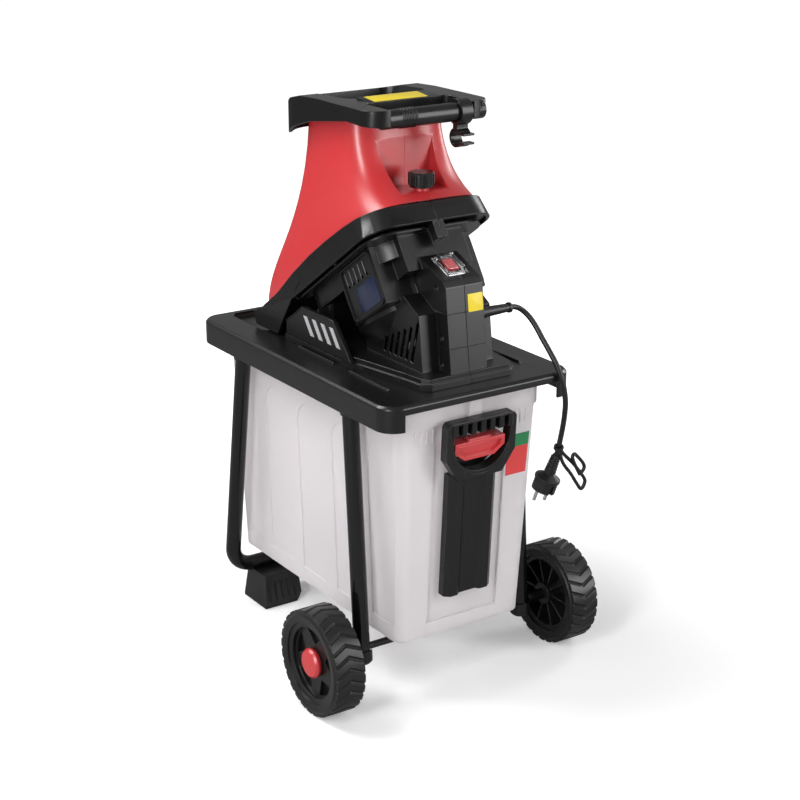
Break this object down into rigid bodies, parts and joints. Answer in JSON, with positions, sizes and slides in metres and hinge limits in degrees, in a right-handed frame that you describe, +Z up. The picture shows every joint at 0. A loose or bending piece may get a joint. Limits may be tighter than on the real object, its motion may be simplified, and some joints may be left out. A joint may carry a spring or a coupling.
{
  "type": "electric garden shredder",
  "caption": "Wheeled garden shredder with a tilting feed hopper, enclosed knife disc and motor, tube stand, and a slide-out translucent collection box with a pusher.",
  "frame": {"origin": "on the floor, under the middle of the deck and of the wheel track", "axes": "+X along the axle to the right as seen from the front, -Y to the front with the wheels, switch and box front, +Z up"},
  "size_m": [0.448, 0.5238, 0.8095],
  "materials": {
    "black_plastic": "satin, fine grain",
    "black_tube": "gloss black coating",
    "wheel_plastic": "satin",
    "red_plastic": "satin gloss",
    "milky_plastic": "translucent, frosted",
    "clear_plastic": "clear",
    "grey_plastic": "satin",
    "steel": "bright",
    "aluminium": "cast",
    "copper": "wound wire and bars",
    "cord_rubber": "matt"
  },
  "bodies": {
    "stand": {"deck": "black_plastic", "leg_caps": "black_plastic", "stand_foot": "black_plastic", "axle_spacers": "black_plastic", "housing_left": "black_plastic", "housing_right": "black_plastic", "brush_holders": "black_plastic", "switch_body": "black_plastic", "front_leg_left": "black_tube", "front_leg_right": "black_tube", "rear_leg_frame": "black_tube", "switch_cover": "clear_plastic", "stripe_inserts": "grey_plastic", "interlock_switch": "grey_plastic", "leg_screws": "steel", "foot_screws": "steel", "axle": "steel", "axle_push_nuts": "steel", "housing_screws": "steel", "bearing_upper": "steel", "bearing_lower": "steel", "stator": "steel", "hinge_pins": "steel", "plug_pins": "steel", "motor_shield_upper": "aluminium", "motor_shield_lower": "aluminium", "field_coils": "copper", "strain_relief": "cord_rubber", "power_cord": "cord_rubber", "plug": "cord_rubber", "cord_tie": "cord_rubber"},
    "hopper": {"hopper_rim_left": "black_plastic", "hopper_rim_right": "black_plastic", "hopper_shell_left": "red_plastic", "hopper_shell_right": "red_plastic", "hopper_screws": "steel", "feed_chute": "black_plastic", "feed_collar": "black_plastic", "counter_blade": "steel", "counter_blade_screws": "steel"},
    "lock_knob": {"lock_knob": "black_plastic", "lock_stud": "steel"},
    "cord_clip": {"cable_clip": "black_plastic"},
    "cutter": {"motor_shaft": "steel", "rotor_core": "steel", "commutator": "copper", "cooling_fan": "black_plastic", "knife_disc": "steel", "knives": "steel", "knife_screws": "steel", "disc_bolt": "steel"},
    "wheel_left": {"wheel_left": "wheel_plastic", "hub_cap_left": "red_plastic"},
    "wheel_right": {"wheel_right": "wheel_plastic", "hub_cap_right": "red_plastic"},
    "box": {"collection_box": "milky_plastic"},
    "box_lock": {"box_lock_slider": "red_plastic"},
    "pusher": {"pusher": "black_plastic"},
    "rocker": {"switch_rocker": "red_plastic"}
  },
  "joints": [
    {"name": "hopper_hinge", "type": "hinge", "parent": "stand", "child": "hopper", "pos_m": [0, 0.158, 0.468], "axis": [-1, 0, 0], "range_deg": [0, 75]},
    {"name": "lock_knob_turn", "type": "hinge", "parent": "hopper", "child": "lock_knob", "pos_m": [0, -0.107, 0.705], "axis": [0, 0, 1], "continuous": true},
    {"name": "cord_clip_swivel", "type": "hinge", "parent": "hopper", "child": "cord_clip", "pos_m": [0.053, -0.121, 0.792], "axis": [1, 0, 0], "range_deg": [-60, 60]},
    {"name": "cutter_spin", "type": "hinge", "parent": "stand", "child": "cutter", "pos_m": [0, -0.04145, 0.58596], "axis": [0, 0.5592, 0.829], "continuous": true},
    {"name": "wheel_left_spin", "type": "hinge", "parent": "stand", "child": "wheel_left", "pos_m": [-0.2, -0.1658, 0.075], "axis": [1, 0, 0], "continuous": true},
    {"name": "wheel_right_spin", "type": "hinge", "parent": "stand", "child": "wheel_right", "pos_m": [0.2, -0.1658, 0.075], "axis": [1, 0, 0], "continuous": true},
    {"name": "box_slide", "type": "slide", "parent": "stand", "child": "box", "axis": [0, -1, 0], "range_m": [0, 0.4]},
    {"name": "box_lock_slide", "type": "slide", "parent": "box", "child": "box_lock", "axis": [0, -0.061, 0.9981], "range_m": [0, 0.008]},
    {"name": "pusher_off", "type": "slide", "parent": "box", "child": "pusher", "axis": [0, -0.9981, -0.061], "range_m": [0, 0.12]},
    {"name": "switch_rocker_tilt", "type": "hinge", "parent": "stand", "child": "rocker", "pos_m": [0, -0.17335, 0.59723], "axis": [1, 0, 0], "range_deg": [0, 14]}
  ]
}
